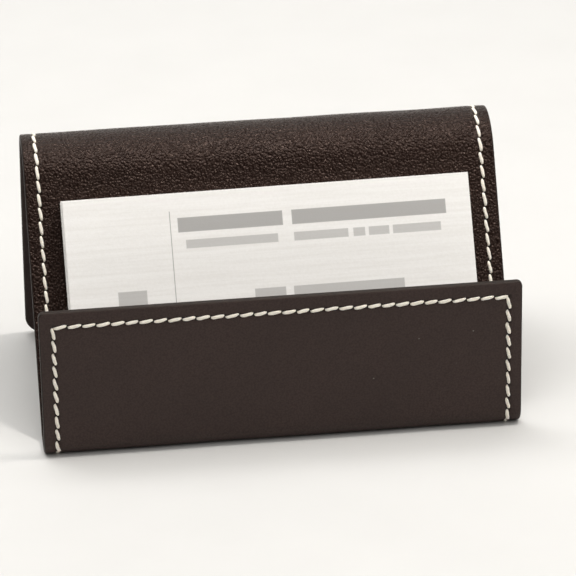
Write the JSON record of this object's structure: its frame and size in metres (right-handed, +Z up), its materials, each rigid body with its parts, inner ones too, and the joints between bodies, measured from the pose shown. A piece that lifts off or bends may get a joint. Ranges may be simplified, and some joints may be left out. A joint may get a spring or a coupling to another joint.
{
  "type": "business card case",
  "caption": "Folding leather business card case standing open as a desk holder: pocket front, leaning back with cards, rolled top fold and a rear flap that props it up.",
  "frame": {"origin": "middle of the footprint, on the table, under the centre of the bounding box", "axes": "+X along the case's width to the viewer's right, +Y from the pocket front towards the flap, +Z up"},
  "size_m": [0.1036, 0.0718, 0.0576],
  "materials": {
    "leather": "smooth matte dark brown leather",
    "lining": "pebble grained dark brown leather, slight sheen",
    "board": "grey-brown fibre board, sealed inside",
    "thread": "cream waxed thread",
    "magnet": "plated magnet, sealed inside",
    "steel": "plain steel disc, sealed inside",
    "card": "white coated card"
  },
  "bodies": {
    "case_back": {"base_leather": "leather", "base_lining": "lining", "base_thread": "thread", "back_leather": "leather", "back_lining": "lining", "back_board": "board", "back_thread": "thread"},
    "pocket_front": {"front_leather": "leather", "front_lining": "lining", "front_board": "board", "front_thread": "thread", "front_keepers": "steel"},
    "fold_1": {"fold_leather_1": "leather", "fold_lining_1": "lining", "fold_thread_1": "thread"},
    "fold_2": {"fold_leather_2": "leather", "fold_lining_2": "lining", "fold_thread_2": "thread"},
    "fold_3": {"fold_leather_3": "leather", "fold_lining_3": "lining", "fold_thread_3": "thread"},
    "flap": {"flap_leather": "leather", "flap_lining": "lining", "flap_board": "board", "flap_thread": "thread", "flap_magnets": "magnet"},
    "cards_behind": {"card_stack": "card"},
    "card_in_front": {"front_card": "card"}
  },
  "joints": [
    {"name": "pocket_close", "type": "hinge", "parent": "case_back", "child": "pocket_front", "pos_m": [0, -0.02926, 0.00088], "axis": [-1, 0, 0], "range_deg": [0, 30.05]},
    {"name": "flap_fold", "type": "hinge", "parent": "case_back", "child": "fold_1", "pos_m": [0, 0.00165, 0.05228], "axis": [1, 0, 0], "range_deg": [0, 69.87]},
    {"name": "fold_line_2", "type": "hinge", "parent": "fold_1", "child": "fold_2", "pos_m": [0, 0.00592, 0.05583], "axis": [1, 0, 0], "range_deg": [0, 78.34]},
    {"name": "fold_line_3", "type": "hinge", "parent": "fold_2", "child": "fold_3", "pos_m": [0, 0.01141, 0.05658], "axis": [1, 0, 0], "range_deg": [0, 88.09]},
    {"name": "fold_line_4", "type": "hinge", "parent": "fold_3", "child": "flap", "pos_m": [0, 0.01599, 0.05358], "axis": [1, 0, 0], "range_deg": [0, 79.58]},
    {"name": "stack_slide", "type": "slide", "parent": "case_back", "child": "cards_behind", "axis": [1, 0, 0], "range_m": [-0.045, 0.045]},
    {"name": "card_slide", "type": "slide", "parent": "case_back", "child": "card_in_front", "axis": [1, 0, 0], "range_m": [-0.045, 0.045]}
  ],
  "couplings": [
    {"joint": "fold_line_2", "follows": "flap_fold", "ratio": 1.1206},
    {"joint": "fold_line_3", "follows": "flap_fold", "ratio": 1.2602},
    {"joint": "fold_line_4", "follows": "flap_fold", "ratio": 1.1383},
    {"joint": "pocket_close", "follows": "flap_fold", "ratio": 0.42939}
  ]
}
